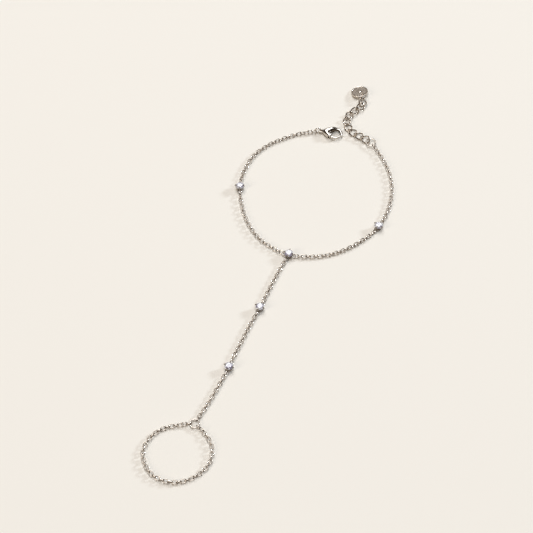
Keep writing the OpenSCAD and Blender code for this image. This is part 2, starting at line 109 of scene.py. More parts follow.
card_bm = bmesh.new()
bmesh.ops.create_grid(card_bm, x_segments=1, y_segments=1, size=CARD_HALF_SIZE)
card_mesh = bpy.data.meshes.new("card")
card_bm.to_mesh(card_mesh)
card_bm.free()
card_mesh.materials.append(card_material)
card = bpy.data.objects.new("card", card_mesh)
scene.collection.objects.link(card)
card.location.z = -CARD_DROP
print("card:", 2 * CARD_HALF_SIZE, "m wide")

# %% Set up the light
WORLD_COLOR = (0.07, 0.052, 0.038, 1)
# Each panel: name, its place seen from the middle of the bracelet, width, length, power, colour
PANELS = [
    ("panel_above", (-0.1, 0.58, 2.05), 1.1, 2.7, 41.4, (0.965, 0.98, 1.0)),
    ("panel_left", (-1.9, -1.3, 1.5), 0.5, 1.2, 19, (1.0, 0.93, 0.83)),
    ("panel_behind", (-0.45, 2.6, 1.3), 1.2, 0.8, 2.0, (1.0, 0.97, 0.93)),
    ("lamp_right", (2.1, 0.9, 0.92), 0.32, 0.32, 30, (0.80, 0.90, 1.0)),
]

world = bpy.data.worlds.new("studio")
world.use_nodes = True
world.node_tree.nodes["Background"].inputs["Color"].default_value = WORLD_COLOR
world.node_tree.nodes["Background"].inputs["Strength"].default_value = 1.0
scene.world = world
scene.view_settings.view_transform = "Standard"

for name, place, width, length, power, color in PANELS:
    light = bpy.data.lights.new(name, "AREA")
    light.shape = "RECTANGLE"
    light.size = width
    light.size_y = length
    light.energy = power
    light.color = color
    panel = bpy.data.objects.new(name, light)
    scene.collection.objects.link(panel)
    panel.location = place
    panel.rotation_euler = Vector(place).to_track_quat("Z", "Y").to_euler()
print("panels:", len(PANELS))

# %% [markdown]
# ## The metal
#
# The bracelet is silver with a bright plate over it. Two things keep plated metal from looking
# like a mirror ball: hairlines from handling, and a slight cloudiness where fingers and the
# polishing wheel missed. Both effects are wanted on every metal piece at different strengths,
# so they are one node group with named inputs, and each material holds its own copy's values.

# %% Make the group for handling marks
# The part of the noise that counts as a hairline, and the roughness that a hairline adds
HAIR_FROM, HAIR_TO = 0.56, 0.72
HAIR_ROUGHNESS = 0.25


def node_at(tree, kind, x, y, **settings):
    """A new node at a place in the tree, with its settings."""
    node = tree.nodes.new(kind)
    node.location = (x, y)
    for key, value in settings.items():
        setattr(node, key, value)
    return node


def handling_group():
    """Roughness and height of hairlines and clouding on handled metal."""
    group = bpy.data.node_groups.new("handling_marks", "ShaderNodeTree")
    for label, usual in (
        ("Base Roughness", 0.1),
        ("Clouding", 0.1),
        ("Cloud Size", 800.0),
        ("Hairlines", 0.3),
        ("Hairline Size", 3000.0),
    ):
        socket = group.interface.new_socket(label, in_out="INPUT", socket_type="NodeSocketFloat")
        socket.default_value = usual
    for label in ("Roughness", "Height", "Tone"):
        group.interface.new_socket(label, in_out="OUTPUT", socket_type="NodeSocketFloat")
    start = node_at(group, "NodeGroupInput", -900, 0)
    end = node_at(group, "NodeGroupOutput", 700, 0)
    place = node_at(group, "ShaderNodeTexCoord", -900, -300)

    clouds = node_at(group, "ShaderNodeTexNoise", -500, 200)
    clouds.inputs["Detail"].default_value = 4.0
    group.links.new(place.outputs["Object"], clouds.inputs["Vector"])
    group.links.new(start.outputs["Cloud Size"], clouds.inputs["Scale"])

    stretch = node_at(group, "ShaderNodeMapping", -700, -300)
    stretch.inputs["Rotation"].default_value = (0.3, 0.2, 0.9)
    stretch.inputs["Scale"].default_value = (1.0, 9.0, 4.0)
    hairs = node_at(group, "ShaderNodeTexNoise", -500, -300)
    hairs.inputs["Detail"].default_value = 2.0
    group.links.new(place.outputs["Object"], stretch.inputs["Vector"])
    group.links.new(stretch.outputs["Vector"], hairs.inputs["Vector"])
    group.links.new(start.outputs["Hairline Size"], hairs.inputs["Scale"])
    lines = node_at(group, "ShaderNodeMapRange", -300, -300)
    lines.inputs["From Min"].default_value = HAIR_FROM
    lines.inputs["From Max"].default_value = HAIR_TO
    group.links.new(hairs.outputs["Fac"], lines.inputs["Value"])

    cloudy = node_at(group, "ShaderNodeMath", -250, 200, operation="MULTIPLY_ADD")
    group.links.new(clouds.outputs["Fac"], cloudy.inputs[0])
    group.links.new(start.outputs["Clouding"], cloudy.inputs[1])
    group.links.new(start.outputs["Base Roughness"], cloudy.inputs[2])
    lined = node_at(group, "ShaderNodeMath", -50, -200, operation="MULTIPLY")
    group.links.new(lines.outputs["Result"], lined.inputs[0])
    group.links.new(start.outputs["Hairlines"], lined.inputs[1])
    rough = node_at(group, "ShaderNodeMath", 200, 100, operation="MULTIPLY_ADD", use_clamp=True)
    rough.inputs[1].default_value = HAIR_ROUGHNESS
    group.links.new(lined.outputs["Value"], rough.inputs[0])
    group.links.new(cloudy.outputs["Value"], rough.inputs[2])

    group.links.new(rough.outputs["Value"], end.inputs["Roughness"])
    group.links.new(lined.outputs["Value"], end.inputs["Height"])
    group.links.new(clouds.outputs["Fac"], end.inputs["Tone"])
    return group


HANDLING = handling_group()
print("group:", HANDLING.name)

# %% [markdown]
# Each metal takes two tones a little apart, mixed by the clouding, because plated silver is
# never one flat grey. Drawn wire keeps the sharpest gloss, so the links and rings have it. The
# clasp is cast and tumbled, so its gloss is a little softer. The settings' cups and their claws,
# the wall of the clasp's hole and the tag's sunk ground are rougher, and their dark tones are
# painted shade.

# %% Make the metals
MARK_DEPTH = 0.004 * MM


def metal(name, light_tone, dark_tone, rough, clouding, hairlines, bump):
    """Plated silver with handling marks, from two tones and the strengths of its marks."""
    material = bpy.data.materials.new(name)
    material.use_nodes = True
    tree = material.node_tree
    shader = tree.nodes["Principled BSDF"]
    shader.inputs["Metallic"].default_value = 1.0
    marks = node_at(tree, "ShaderNodeGroup", -700, 0, node_tree=HANDLING)
    marks.inputs["Base Roughness"].default_value = rough
    marks.inputs["Clouding"].default_value = clouding
    marks.inputs["Hairlines"].default_value = hairlines
    tones = node_at(tree, "ShaderNodeMix", -350, 200, data_type="RGBA")
    tones.inputs["A"].default_value = (*dark_tone, 1)
    tones.inputs["B"].default_value = (*light_tone, 1)
    tree.links.new(marks.outputs["Tone"], tones.inputs["Factor"])
    tree.links.new(tones.outputs["Result"], shader.inputs["Base Color"])
    tree.links.new(marks.outputs["Roughness"], shader.inputs["Roughness"])
    relief = node_at(tree, "ShaderNodeBump", -350, -200)
    relief.inputs["Strength"].default_value = bump
    relief.inputs["Distance"].default_value = MARK_DEPTH
    tree.links.new(marks.outputs["Height"], relief.inputs["Height"])
    tree.links.new(relief.outputs["Normal"], shader.inputs["Normal"])
    return material


# Each metal: name, light tone, dark tone, roughness, clouding, hairlines, and bump of the marks
LINK_METAL = metal("plated_silver_links", (0.63, 0.565, 0.50), (0.42, 0.365, 0.31), 0.05, 0.08, 0.3, 0.3)
RING_METAL = metal("plated_silver_wire", (0.66, 0.60, 0.54), (0.48, 0.425, 0.37), 0.05, 0.08, 0.4, 0.4)
SETTING_METAL = metal("plated_silver_setting", (0.72, 0.68, 0.645), (0.56, 0.52, 0.485), 0.06, 0.12, 0.2, 0.3)
CLASP_METAL = metal("plated_silver_clasp", (0.70, 0.66, 0.61), (0.56, 0.515, 0.46), 0.12, 0.08, 0.4, 0.3)
# Painted shade in the settings' cups and on their claws
PAINTED_SHADE_CUP_METAL = metal("painted_shade_silver_cup", (0.42, 0.36, 0.30), (0.26, 0.22, 0.18), 0.2, 0.2, 0.3, 0.4)
# Painted shade on the wall of the clasp's hole
PAINTED_SHADE_HOLE_METAL = metal("painted_shade_silver_hole", (0.17, 0.14, 0.11), (0.10, 0.08, 0.06), 0.22, 0.2, 0.3, 0.4)
EXTENDER_METAL = metal("plated_silver_curb", (0.55, 0.47, 0.39), (0.38, 0.32, 0.26), 0.05, 0.10, 0.3, 0.3)
TAG_METAL = metal("plated_silver_tag", (0.86, 0.79, 0.72), (0.68, 0.61, 0.54), 0.12, 0.14, 0.4, 0.4)
# Painted shade on the tag's sunk ground
PAINTED_SHADE_TAG_GROUND = metal("painted_shade_silver_ground", (0.38, 0.325, 0.27), (0.25, 0.21, 0.17), 0.36, 0.2, 0.3, 0.4)
print("metals:", [m.name for m in bpy.data.materials if "silver" in m.name])

# %% [markdown]
# ## The stones' material
#
# The stones are clear and colourless, of a kind that bends light more than glass does. What
# looks white in the picture is light that goes in through the top, bounces off the facets
# below and comes back out in flashes. A few samples can't find those paths, so a part of the
# light is scattered instead, and cells of white and lilac grey stand for the flashes.

# %% Make the clear stone
STONE_INDEX = 2.15
CLEAR_SHARE = 0.35
# Cells in a metre, their two tones, and the part of the cells' own values that fades between them
FLASH_SCALE = 1700
FLASH_BRIGHT, FLASH_DIM = (1.0, 0.99, 1.0), (0.44, 0.40, 0.50)
FLASH_FROM, FLASH_TO = 0.35, 0.5


def clear_stone():
    """A clear stone of high index, with cells of light and dim tone for its flashes."""
    material = bpy.data.materials.new("clear_stone")
    material.use_nodes = True
    tree = material.node_tree
    shader = tree.nodes["Principled BSDF"]
    shader.inputs["Metallic"].default_value = 0.0
    shader.inputs["Roughness"].default_value = 0.0
    shader.inputs["IOR"].default_value = STONE_INDEX
    shader.inputs["Transmission Weight"].default_value = CLEAR_SHARE
    place = node_at(tree, "ShaderNodeTexCoord", -900, 0)
    cells = node_at(tree, "ShaderNodeTexVoronoi", -700, 0)
    cells.inputs["Scale"].default_value = FLASH_SCALE
    tree.links.new(place.outputs["Object"], cells.inputs["Vector"])
    contrast = node_at(tree, "ShaderNodeMapRange", -500, 0)
    contrast.inputs["From Min"].default_value = FLASH_FROM
    contrast.inputs["From Max"].default_value = FLASH_TO
    tree.links.new(cells.outputs["Color"], contrast.inputs["Value"])
    flashes = node_at(tree, "ShaderNodeMix", -300, 0, data_type="RGBA")
    flashes.inputs["A"].default_value = (*FLASH_DIM, 1)
    flashes.inputs["B"].default_value = (*FLASH_BRIGHT, 1)
    tree.links.new(contrast.outputs["Result"], flashes.inputs["Factor"])
    tree.links.new(flashes.outputs["Result"], shader.inputs["Base Color"])
    return material


CLEAR_STONE = clear_stone()
for name, node in nodes.items():
    if name.startswith("stone_"):
        for slot in node.material_slots:
            slot.material = CLEAR_STONE
print("stone material on", sum(name.startswith("stone_") for name in nodes), "stones")

# %% [markdown]
# ## Helpers for pieces
#
# A finished piece is a mesh whose place is in its points, riding on a body of the packed
# model. The same few lines end every piece, so they are one function.

# %% Define how a piece is finished
ROOT = "bracelet"


def smooth(bm):
    """Shades all faces as one rounded surface."""
    for face in bm.faces:
        face.smooth = True


def finish_piece(bm, name, materials, node, body=ROOT, levels=0):
    """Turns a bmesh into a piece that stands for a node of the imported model."""
    mesh = bpy.data.meshes.new(name)
    bm.to_mesh(mesh)
    bm.free()
    for material in materials:
        mesh.materials.append(material)
    piece = bpy.data.objects.new(name, mesh)
    scene.collection.objects.link(piece)
    if levels:
        rounding = piece.modifiers.new("rounding", "SUBSURF")
        rounding.levels = levels
        rounding.render_levels = levels
    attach(piece, body)
    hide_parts(node)
    print(name, "faces:", len(mesh.polygons))


def cage_radius(radius, sides):
    """Radius of a polygon that one level of subdivision brings to the wanted radius."""
    return radius * 8 / (6 + 2 * cos(2 * pi / sides))


def wire_section(bm, place, radius, sides):
    """A circle that stands across the X direction at a place, as the start of a wire."""
    section = bmesh.ops.create_circle(bm, segments=sides, radius=radius)["verts"]
    stand = Matrix.Translation(place) @ Matrix.Rotation(pi / 2, 4, "Y")
    bmesh.ops.transform(bm, matrix=stand, verts=section)
    return section


def edges_of(verts):
    """Edges whose two ends are both among some points."""
    chosen = set(verts)
    return list(dict.fromkeys(e for v in verts for e in v.link_edges if e.other_vert(v) in chosen))


def close_ends(bm):
    """Caps every open end of a wire or loft."""
    bmesh.ops.holes_fill(bm, edges=[e for e in bm.edges if e.is_boundary], sides=0)


def verts_in(geometry):
    """The points among an operator's mixed result."""
    return [g for g in geometry if isinstance(g, bmesh.types.BMVert)]


def stored(bm, name):
    """A mesh to be copied from later, kept without an object of its own."""
    bmesh.ops.recalc_face_normals(bm, faces=bm.faces)
    smooth(bm)
    mesh = bpy.data.meshes.new(name)
    bm.to_mesh(mesh)
    bm.free()
    return mesh


# %% [markdown]
# ## The cable links
#
# A cable link is a piece of wire bent to an oval and closed. Each is made once, at the origin:
# a circle is spun half a turn for one end, drawn out along the straight side, spun again for
# the other end, and bridged to where it began. There are nearly two hundred, so the cage has
# few faces and one level of subdivision rounds it.

# %% Shape one cable link
LINK_LENGTH = 2.1 * MM
LINK_WIDTH = 1.44 * MM
LINK_WIRE = 0.31 * MM
LINK_SIDES = 6
END_STEPS = 5
# The straight sides aren't drawn in by the subdivision as the ends are, so their cage is narrower
STRAIGHT_SHARE = 0.965
STRAIGHT_END = 0.01 * MM


def cable_link():
    """The cage of one cable link, lying along X."""
    bm = bmesh.new()
    arc_sides = 2 * END_STEPS
    mid_radius = cage_radius((LINK_WIDTH - LINK_WIRE) / 2, arc_sides)
    straight = (LINK_LENGTH - LINK_WIDTH) / 2
    wire = cage_radius(LINK_WIRE / 2, LINK_SIDES)
    first = wire_section(bm, (straight, -mid_radius, 0), wire, LINK_SIDES)
    loop = first
    for side in (1, -1):
        around = bmesh.ops.spin(
            bm,
            geom=loop + edges_of(loop),
            cent=(side * straight, 0, 0),
            axis=(0, 0, 1),
            angle=pi,
            steps=END_STEPS,
        )
        loop = verts_in(around["geom_last"])
        if side == 1:
            along = bmesh.ops.extrude_edge_only(bm, edges=edges_of(loop))
            loop = verts_in(along["geom"])
            bmesh.ops.translate(bm, vec=(-2 * straight, 0, 0), verts=loop)
    bmesh.ops.bridge_loops(bm, edges=edges_of(loop) + edges_of(first))
    for v in bm.verts:
        if abs(abs(v.co.x) - straight) < STRAIGHT_END:
            v.co.y *= STRAIGHT_SHARE
    return stored(bm, "cable_link")


CABLE_LINK = cable_link()
print("faces in a cable link:", len(CABLE_LINK.polygons))

# %% [markdown]
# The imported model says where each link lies: every loose part of a chain's mesh is one link.
# Its middle is the middle of its surface, and its three directions are those in which that
# surface spreads most, less and least: along the link, across it, and through its flat.

# %% Find where the links lie
WELD = 0.0005 * MM


def link_places(node):
    """A matrix for each loose part of a node's mesh: its middle, and its long and wide directions."""
    bm = bmesh.new()
    bm.from_mesh(nodes[node].data)
    bmesh.ops.remove_doubles(bm, verts=bm.verts, dist=WELD)
    seen = set()
    places = []
    for start in bm.faces:
        if start in seen:
            continue
        seen.add(start)
        part = [start]
        for face in part:
            for edge in face.edges:
                for other in edge.link_faces:
                    if other not in seen:
                        seen.add(other)
                        part.append(other)
        areas = np.array([face.calc_area() for face in part])
        centres = np.array([face.calc_center_median() for face in part])
        middle = np.average(centres, axis=0, weights=areas)
        spread = np.cov((centres - middle).T, aweights=areas)
        axes = np.linalg.eigh(spread)[1][:, ::-1]
        axes[:, 2] = np.cross(axes[:, 0], axes[:, 1])
        place = Matrix(axes.tolist()).to_4x4()
        place.translation = middle
        places.append(place)
    bm.free()
    return places


def lay_links(node, link, material, places, levels=0):
    """One piece for a chain's node, with a copy of a link at each place."""
    bm = bmesh.new()
    for place in places:
        before = len(bm.verts)
        bm.from_mesh(link)
        bm.verts.ensure_lookup_table()
        bmesh.ops.transform(bm, matrix=place, verts=bm.verts[before:])
    finish_piece(bm, node + "_links", [material], node, levels=levels)


# %% [markdown]
# The solids lean every cable link half over, to one side and the other in turn. In the picture
# the links lie flat and stand on edge in turn, which shows the oval of every second one. So all
# of a chain's links are turned alike about their own length, and lifted so that those on edge
# stand on the card. Near a setting or a ring the turn fades away, because the end links hang
# in a loop there. Where a chain runs across the picture, the flat links lean back a little.

# %% Turn the links flat and on edge
FLAT_TURN, LEAN_BACK = radians(45), radians(20)
EDGE_LIFT = 0.14 * MM
# A link this near to the middle of a setting or ring isn't turned, and one this far is turned fully
HELD_WITHIN, FREE_BEYOND = 1.8 * MM, 6 * MM
ANCHORS = [
    sum(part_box(name), Vector()) / 2
    for name in nodes
    if name.startswith("setting_") or name.endswith("_ring")
]


def turned_places(node, middle):
    """The places of a chain's links, turned as they lie when it goes round a middle."""
    places = []
    for place in link_places(node):
        here = place.translation
        distance = min((here - anchor).length for anchor in ANCHORS)
        free = max(0, min(1, (distance - HELD_WITHIN) / (FREE_BEYOND - HELD_WITHIN)))
        onward = Vector((0, 0, 1)).cross(here - middle).normalized()
        sense = 1 if place.col[0].xyz.dot(onward) > 0 else -1
        turn = sense * free * (LEAN_BACK * onward.x - FLAT_TURN)
        lift = Matrix.Translation((0, 0, free * EDGE_LIFT))
        places.append(lift @ place @ Matrix.Rotation(turn, 4, "X"))
    return places


print("the links are held near", len(ANCHORS), "settings and rings")

# %% Lay the cable chains
# Each chain and the point that it goes round. The hand chain is nearly straight, so its is far away
WRIST_MIDDLE = Vector((13.7, 30, 0)) * MM
FINGER_MIDDLE = Vector((-28.8, -67.2, 0)) * MM
FAR_LEFT = Vector((-1000, 0, 0)) * MM
CABLE_CHAINS = {
    "chain_clasp_to_left": WRIST_MIDDLE,
    "chain_left_to_centre": WRIST_MIDDLE,
    "chain_centre_to_right": WRIST_MIDDLE,
    "chain_right_to_extender": WRIST_MIDDLE,
    "hand_chain_upper": FAR_LEFT,
    "hand_chain_middle": FAR_LEFT,
    "hand_chain_lower": FAR_LEFT,
    "finger_chain": FINGER_MIDDLE,
}

for chain, middle in CABLE_CHAINS.items():
    lay_links(chain, CABLE_LINK, LINK_METAL, turned_places(chain, middle), levels=1)

# %% [markdown]
# ## The extender's links
#
# The extender is a curb chain: larger oval links, each twisted so that the chain lies flat.
# A ring is spun whole, drawn out to an oval, and then each of its points is turned about the
# link's length by an angle that grows from the middle to the ends, which is what the
# chain maker's twisting does.

# %% Shape and lay the curb links
CURB_LENGTH = 3.9 * MM
CURB_WIDTH = 2.95 * MM
CURB_WIRE = 0.46 * MM
CURB_TWIST = radians(46)
CURB_SIDES, CURB_STEPS = 12, 40


def curb_link():
    """One curb link, lying along X and twisted about it."""
    bm = bmesh.new()
    length_radius = (CURB_LENGTH - CURB_WIRE) / 2
    width_radius = (CURB_WIDTH - CURB_WIRE) / 2
    section = wire_section(bm, (0, -width_radius, 0), CURB_WIRE / 2, CURB_SIDES)
    bmesh.ops.spin(
        bm, geom=section + edges_of(section), cent=(0, 0, 0), axis=(0, 0, 1),
        angle=2 * pi, steps=CURB_STEPS, use_merge=True,
    )
    for v in bm.verts:
        from_axis = hypot(v.co.x, v.co.y)
        longer = (length_radius - width_radius) * v.co.x / from_axis
        v.co.x += longer
        turn = CURB_TWIST * max(-1, min(1, v.co.x / length_radius))
        v.co = Matrix.Rotation(turn, 3, "X") @ v.co
    return stored(bm, "curb_link")


lay_links("extender_chain", curb_link(), EXTENDER_METAL, link_places("extender_chain"))

# %% [markdown]
# ## The jump rings
#
# A jump ring is round wire bent to a circle, and its two ends meet at a fine seam. Each ring
# is found from its node: its middle, its plane and its size. A spin that stops just short of
# a full turn leaves the seam, and both ends are capped.

# %% Bend the jump rings
RING_WIRE = 0.44 * MM
RING_SIDES, RING_STEPS = 16, 64
SEAM = 0.03 * MM
# Each ring, and where its seam is, as an angle from the ring's own first direction
RINGS = {"clasp_ring": 60, "extender_ring": 100, "finger_ring": 200, "tag_ring": 250}


def jump_ring(node, seam_angle):
    """A jump ring for a node, with its seam at an angle in degrees."""
    place = link_places(node)[0]
    low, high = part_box(node)
    mid_radius = max(high - low) / 2 - RING_WIRE / 2
    bm = bmesh.new()
    section = wire_section(bm, (0, -mid_radius, 0), RING_WIRE / 2, RING_SIDES)
    bmesh.ops.spin(
        bm, geom=section + edges_of(section), cent=(0, 0, 0), axis=(0, 0, 1),
        angle=2 * pi - SEAM / mid_radius, steps=RING_STEPS,
    )
    close_ends(bm)
    bmesh.ops.recalc_face_normals(bm, faces=bm.faces)
    for face in bm.faces:
        face.smooth = len(face.verts) == 4
    bmesh.ops.transform(bm, matrix=place @ Matrix.Rotation(radians(seam_angle), 4, "Z"), verts=bm.verts)
    finish_piece(bm, node + "_wire", [RING_METAL], node)


for ring, seam in RINGS.items():
    jump_ring(ring, seam)

# %% [markdown]
# ## Cast and soldered pieces
#
# The settings, the clasp's body and its lever are each one piece of metal with no sharp edge
# left after tumbling. Modelling every blend by hand would take many loops. Here a piece is
# built from simple overlapping shells, at a thousand times its size, and a voxel remesh turns
# them into one skin, which a few rounds of smoothing then soften as tumbling does.

# %% Define wires, lofts and the fusing of shells
SHELL_WELD = 0.0001


def tube(bm, path, radii, sides=12):
    """A wire through the points of a path, with its radius at each point and round ends."""
    path = [Vector(point) for point in path]
    loops = []
    for i, (point, radius) in enumerate(zip(path, radii)):
        along = path[min(i + 1, len(path) - 1)] - path[max(i - 1, 0)]
        section = bmesh.ops.create_circle(bm, segments=sides, radius=radius)["verts"]
        stand = Matrix.Translation(point) @ along.to_track_quat("Z", "Y").to_matrix().to_4x4()
        bmesh.ops.transform(bm, matrix=stand, verts=section)
        loops.append(section)
    for before, after in zip(loops, loops[1:]):
        bmesh.ops.bridge_loops(bm, edges=edges_of(before) + edges_of(after))
    close_ends(bm)
    for point, radius in ((path[0], radii[0]), (path[-1], radii[-1])):
        bmesh.ops.create_icosphere(bm, subdivisions=2, radius=radius, matrix=Matrix.Translation(point))


def turned(bm, profile, steps=64, centre=(0, 0, 0)):
    """A shape turned on a lathe, from its outline as radius and height."""
    centre = Vector(centre)
    verts = [bm.verts.new(centre + Vector((r, 0, z))) for r, z in profile]
    edges = [bm.edges.new(pair) for pair in zip(verts, verts[1:])]
    bmesh.ops.spin(
        bm, geom=verts + edges, cent=centre, axis=(0, 0, 1), angle=2 * pi, steps=steps, use_merge=True
    )


def wire_outline(reach, radius, height=0):
    """The outline of a ring of wire for the lathe: its distance out, its radius and its height."""
    return [
        (reach + radius * cos(radians(a)), height + radius * sin(radians(a))) for a in range(0, 361, 30)
    ]


def round_arm(bm, centre, rows, points=24):
    """A loft round a centre. A row is an angle, inner and outer radius, thickness and squareness."""
    loops = []
    for angle, inner, outer, thick, squareness in rows:
        section = bmesh.ops.create_circle(bm, segments=points, radius=1)["verts"]
        for v in section:
            across = copysign(abs(v.co.x) ** (2 / squareness), v.co.x)
            up = copysign(abs(v.co.y) ** (2 / squareness), v.co.y)
            reach = (inner + outer) / 2 + across * (outer - inner) / 2
            v.co = (
                centre[0] + reach * cos(radians(angle)),
                centre[1] + reach * sin(radians(angle)),
                up * thick / 2,
            )
        loops.append(section)
    for before, after in zip(loops, loops[1:]):
        bmesh.ops.bridge_loops(bm, edges=edges_of(before) + edges_of(after))
    close_ends(bm)


def modified(bm, *steps):
    """The bmesh after some modifiers. Each step is a modifier's type and its settings."""
    bmesh.ops.recalc_face_normals(bm, faces=bm.faces)
    mesh = bpy.data.meshes.new("blank")
    bm.to_mesh(mesh)
    bm.free()
    blank = bpy.data.objects.new("blank", mesh)
    scene.collection.objects.link(blank)
    for kind, settings in steps:
        modifier = blank.modifiers.new(kind.lower(), kind)
        for key, value in settings.items():
            setattr(modifier, key, value)
    result = bmesh.new()
    result.from_object(blank, bpy.context.evaluated_depsgraph_get())
    bpy.data.objects.remove(blank)
    bpy.data.meshes.remove(mesh)
    return result


def cut(bm, cutter_bm):
    """The bmesh with another one cut out of it."""
    bmesh.ops.recalc_face_normals(cutter_bm, faces=cutter_bm.faces)
    mesh = bpy.data.meshes.new("cutter")
    cutter_bm.to_mesh(mesh)
    cutter_bm.free()
    cutter = bpy.data.objects.new("cutter", mesh)
    scene.collection.objects.link(cutter)
    result = modified(bm, ("BOOLEAN", {"operation": "DIFFERENCE", "object": cutter, "solver": "EXACT"}))
    bpy.data.objects.remove(cutter)
    bpy.data.meshes.remove(mesh)
    return result


def fused(bm, voxel, rounds):
    """One smooth skin over the overlapping shells of a bmesh."""
    bmesh.ops.remove_doubles(bm, verts=bm.verts, dist=SHELL_WELD)
    result = modified(
        bm,
        ("REMESH", {"mode": "VOXEL", "voxel_size": voxel}),
        ("SMOOTH", {"factor": 0.5, "iterations": rounds}),
    )
    smooth(result)
    return result


# %% [markdown]
# ## The settings
#
# A setting is a small basket: four prongs stand on a ring, a cup runs round them below the
# stone, and their claws are bent in over its edge. A loop for the chain is soldered to each
# side. How each basket is turned, and where its loops point, is read from the imported model:
# the claws are its highest points, and the loops its farthest. The cup's faces and the claws'
# take a dark metal of painted shade, which frames the stone in dark.

# %% Find how each setting is turned
GIRDLE_Z = 1.75
FOOT_RADIUS = 0.88
SEAT_RADIUS = 2.75 / 2 + 0.05
PRONG_SLOPE = (SEAT_RADIUS - FOOT_RADIUS) / GIRDLE_Z
LOOP_REACH = 2.2
LOOP_WIDTH = 1.5
LOOP_WIRE = 0.36
# The loops stand as high as the middle of an end link, which leans by 65 degrees in the model
END_LINK_WIRE, END_LINK_RADIUS, END_LINK_LEAN, END_SPARE = 0.34, 0.58, radians(65), 0.02
LOOP_Z = END_LINK_WIRE / 2 + END_LINK_RADIUS * sin(END_LINK_LEAN) + END_SPARE
# Only claws reach this far above the girdle
CLAW_RISE = 0.3


def group_angles(angles, gap=0.5):
    """The middle of each cluster in a list of angles, all in radians."""
    angles = sorted(angles)
    start = next((i for i in range(1, len(angles)) if angles[i] - angles[i - 1] > gap), 0)
    ordered = angles[start:] + [a + 2 * pi for a in angles[:start]]
    clusters = [[ordered[0]]]
    for angle in ordered[1:]:
        if angle - clusters[-1][-1] > gap:
            clusters.append([])
        clusters[-1].append(angle)
    return [(min(cluster) + max(cluster)) / 2 for cluster in clusters]


def setting_turns(name):
    """Middle of a setting, the turn of its claws, and the directions of its loops."""
    low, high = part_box("stone_" + name)
    middle = Vector(((low[0] + high[0]) / 2, (low[1] + high[1]) / 2, 0))
    points = [(v.co - middle) / MM for v in nodes["setting_" + name].data.vertices]
    claws = [atan2(p.y, p.x) for p in points if p.z > GIRDLE_Z + CLAW_RISE]
    claw_turn = atan2(sum(sin(4 * a) for a in claws), sum(cos(4 * a) for a in claws)) / 4
    loops = group_angles([atan2(p.y, p.x) for p in points if hypot(p.x, p.y) > LOOP_REACH])
    return middle, claw_turn, loops


STONE_NAMES = ("left", "centre", "right", "upper", "lower")
TURNS = {name: setting_turns(name) for name in STONE_NAMES}
for name, (middle, claw_turn, loops) in TURNS.items():
    print(name, "claws at", round(degrees(claw_turn)), "loops at", [round(degrees(a)) for a in loops])

# %% Build the settings
# The wire of a prong, from its foot to its claw's tip: share of the girdle's height, distance
# outside the sloping line of the prongs, radius
PRONG_ROWS = [
    (0.10, 0.0, 0.18), (0.45, 0.0, 0.17), (0.80, 0.03, 0.18), (1.0, 0.1, 0.19), (1.12, 0.02, 0.2),
]
# The tip's distance from the stone's axis, its height and its radius
CLAW_TIP = (1.3, 2.1, 0.2)
FOOT_WIRE = 0.18
CUP_OUTLINE = [(0.86, 0.5), (1.06, 0.5), (1.27, 1.22), (1.1, 1.22), (0.86, 0.5)]
LOOP_ROOT = 0.95
SETTING_VOXEL = 0.045
SETTING_ROUNDS = 2
# Painted shade lies on the cup between the prongs and on the claws over the stone
CUP_HEIGHTS = (0.4, 1.4)
CLAW_HEIGHT = 1.9
PRONG_REACH = 0.22


def setting(name):
    """A stone's basket, with its loops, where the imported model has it."""
    middle, claw_turn, loops = TURNS[name]
    bm = bmesh.new()
    prong = [
        (FOOT_RADIUS + PRONG_SLOPE * GIRDLE_Z * share + out, GIRDLE_Z * share)
        for share, out, radius in PRONG_ROWS
    ]
    prong.append(CLAW_TIP[:2])
    radii = [row[2] for row in (*PRONG_ROWS, CLAW_TIP)]
    for k in range(4):
        quarter = claw_turn + k * pi / 2
        tube(bm, [(r * cos(quarter), r * sin(quarter), z) for r, z in prong], radii)
    turned(bm, wire_outline(FOOT_RADIUS, FOOT_WIRE, FOOT_WIRE))
    turned(bm, CUP_OUTLINE)
    bend = (LOOP_WIDTH - LOOP_WIRE) / 2
    for angle in loops:
        out, side = Vector((cos(angle), sin(angle), 0)), Vector((-sin(angle), cos(angle), 0))
        path = [out * LOOP_ROOT - side * bend]
        path += [
            out * (LOOP_REACH - bend + bend * cos(radians(a))) + side * bend * sin(radians(a))
            for a in range(-90, 91, 15)
        ]
        path += [out * LOOP_ROOT + side * bend]
        tube(bm, [point + Vector((0, 0, LOOP_Z)) for point in path], [LOOP_WIRE / 2] * len(path))
    bm = fused(bm, SETTING_VOXEL, SETTING_ROUNDS)
    # The cup's faces and the claws' take the dark metal, which is painted shade
    for face in bm.faces:
        point = face.calc_center_median()
        reach = hypot(point.x, point.y)
        off_prong = abs((atan2(point.y, point.x) - claw_turn + pi / 4) % (pi / 2) - pi / 4) * reach
        in_cup = CUP_HEIGHTS[0] < point.z < CUP_HEIGHTS[1] and reach < SEAT_RADIUS and off_prong > PRONG_REACH
        if in_cup or point.z > CLAW_HEIGHT:
            face.material_index = 1
    bmesh.ops.transform(bm, matrix=Matrix.Translation(middle) @ Matrix.Scale(MM, 4), verts=bm.verts)
    finish_piece(bm, "setting_" + name + "_basket", [SETTING_METAL, PAINTED_SHADE_CUP_METAL], "setting_" + name)


for name in STONE_NAMES:
    setting(name)

# %% [markdown]
# ## The clasp
#
# A lobster clasp is cast in one piece: an eyelet, a broad domed body, and a hook that runs
# round a hole. Its body is lofted round that hole, from the hook's tip over the top and back
# to the hinge: narrow where it is hook, and broad towards the neck. A slot is cut for the
# lever, whose tip rests inside the hook's tip and swings in when the knob is pulled. The wall
# of the hole takes a dark metal of painted shade, the darkest metal on the piece.

# %% Find the clasp's place
HOOK_X = 5.2
HOLE_RADIUS = 1.5
HINGE_RADIUS = 1.95
HINGE_ANGLE = -140
TIP_ARC_RADIUS = HINGE_RADIUS + HOLE_RADIUS
TIP_GAP = 0.1

